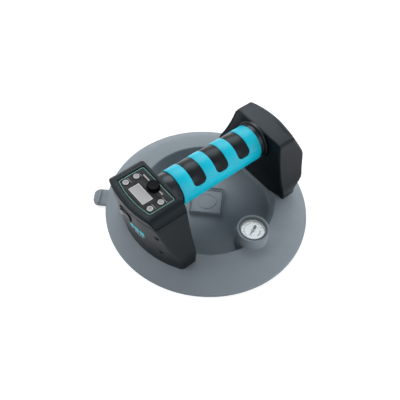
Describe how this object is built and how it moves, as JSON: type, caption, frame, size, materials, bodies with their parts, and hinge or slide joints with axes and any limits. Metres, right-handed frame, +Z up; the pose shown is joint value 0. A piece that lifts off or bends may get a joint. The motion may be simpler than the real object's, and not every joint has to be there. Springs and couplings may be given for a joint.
{
  "type": "floor tile suction lifter",
  "caption": "Battery vacuum lifter for floor tiles: round suction cup, round cross handle between a control head with panel, knob and rocker and a battery leg, and a dial gauge.",
  "frame": {"origin": "centre of the suction cup on its sealing plane", "axes": "+Z up from the sealing plane; X along the handle, the control head at -X and the battery leg at +X"},
  "size_m": [0.2064, 0.2064, 0.0902],
  "materials": {
    "cup_rubber": "moulded, satin",
    "plate_alloy": "die cast, satin paint",
    "zinc_steel": "zinc plated",
    "filter_foam": "sintered felt",
    "housing_black": "fine spark texture",
    "cap_black": "satin gloss",
    "overlay_film": "printed film",
    "lcd_window": "clear window on a grey display",
    "lcd_frame": "moulded",
    "board_green": "solder resist",
    "part_black": "moulded",
    "knob_black": "polished",
    "rocker_black": "moulded",
    "motor_steel": "drawn can",
    "pump_plastic": "moulded",
    "hose_rubber": "extruded",
    "tube_aluminium": "extruded",
    "sleeve_cyan": "soft satin",
    "pad_black": "moulded",
    "collar_black": "satin gloss",
    "cell_wrap": "shrink film on steel",
    "black_steel": "blackened steel",
    "gauge_steel": "dark plated",
    "gauge_brass": "machined",
    "dial_white": "printed dial",
    "needle_dark": "satin",
    "gauge_glass": "flat lens",
    "gauge_rim": "turned",
    "button_grey": "moulded"
  },
  "bodies": {
    "base": {"suction_cup": "cup_rubber", "base_plate": "plate_alloy", "clamp_ring": "zinc_steel", "clamp_screws": "zinc_steel", "inlet_filter": "filter_foam", "head_housing": "housing_black", "head_inner_plate": "housing_black", "head_cap": "cap_black", "panel_overlay": "overlay_film", "lcd_window": "lcd_window", "lcd_module": "lcd_frame", "control_board": "board_green", "board_screws": "zinc_steel", "key_switches": "part_black", "potentiometer": "part_black", "rocker_frame": "rocker_black", "pump_motor": "motor_steel", "pump_head": "pump_plastic", "pump_cradle": "part_black", "vacuum_hose": "hose_rubber", "handle_tube": "tube_aluminium", "grip_sleeve": "sleeve_cyan", "grip_pads": "pad_black", "near_collar": "collar_black", "far_collar": "collar_black", "tube_rings": "part_black", "leg_housing": "housing_black", "leg_inner_plate": "housing_black", "battery_cells": "cell_wrap", "battery_holder": "part_black", "battery_lead": "hose_rubber", "case_screws": "black_steel", "lug_screws": "zinc_steel", "gauge_case": "gauge_steel", "gauge_movement": "gauge_brass", "gauge_dial": "dial_white", "gauge_lens": "gauge_glass", "gauge_bezel": "gauge_rim"},
    "button_1_body": {"button_1": "button_grey"},
    "button_2_body": {"button_2": "button_grey"},
    "button_3_body": {"button_3": "button_grey"},
    "button_4_body": {"button_4": "button_grey"},
    "set_knob_body": {"set_knob": "knob_black"},
    "rocker_body": {"rocker": "rocker_black"},
    "gauge_needle_body": {"gauge_needle": "needle_dark"},
    "pump_rotor_body": {"pump_rotor": "motor_steel"}
  },
  "joints": [
    {"name": "button_1_press", "type": "slide", "parent": "base", "child": "button_1_body", "axis": [0, 0, -1], "range_m": [0, 0.0007], "stiffness_N_per_m": 400, "springref_m": -0.0003},
    {"name": "button_2_press", "type": "slide", "parent": "base", "child": "button_2_body", "axis": [0, 0, -1], "range_m": [0, 0.0007], "stiffness_N_per_m": 400, "springref_m": -0.0003},
    {"name": "button_3_press", "type": "slide", "parent": "base", "child": "button_3_body", "axis": [0, 0, -1], "range_m": [0, 0.0007], "stiffness_N_per_m": 400, "springref_m": -0.0003},
    {"name": "button_4_press", "type": "slide", "parent": "base", "child": "button_4_body", "axis": [0, 0, -1], "range_m": [0, 0.0007], "stiffness_N_per_m": 400, "springref_m": -0.0003},
    {"name": "set_knob_turn", "type": "hinge", "parent": "base", "child": "set_knob_body", "pos_m": [-0.0662, -0.0009, 0.0863], "axis": [0, 0, 1], "range_deg": [-135, 135]},
    {"name": "rocker_tilt", "type": "hinge", "parent": "base", "child": "rocker_body", "pos_m": [-0.09223, 0.00334, 0.06624], "axis": [0.1477, -0.0054, -0.989], "range_deg": [0, 18]},
    {"name": "gauge_needle_sweep", "type": "hinge", "parent": "base", "child": "gauge_needle_body", "pos_m": [0.0045, -0.062, 0.0258], "axis": [0, 0, -1], "range_deg": [0, 270], "stiffness_Nm_per_rad": 0.00002},
    {"name": "pump_rotor_spin", "type": "hinge", "parent": "base", "child": "pump_rotor_body", "pos_m": [-0.0705, -0.015, 0.036], "axis": [0, 1, 0], "continuous": true}
  ]
}
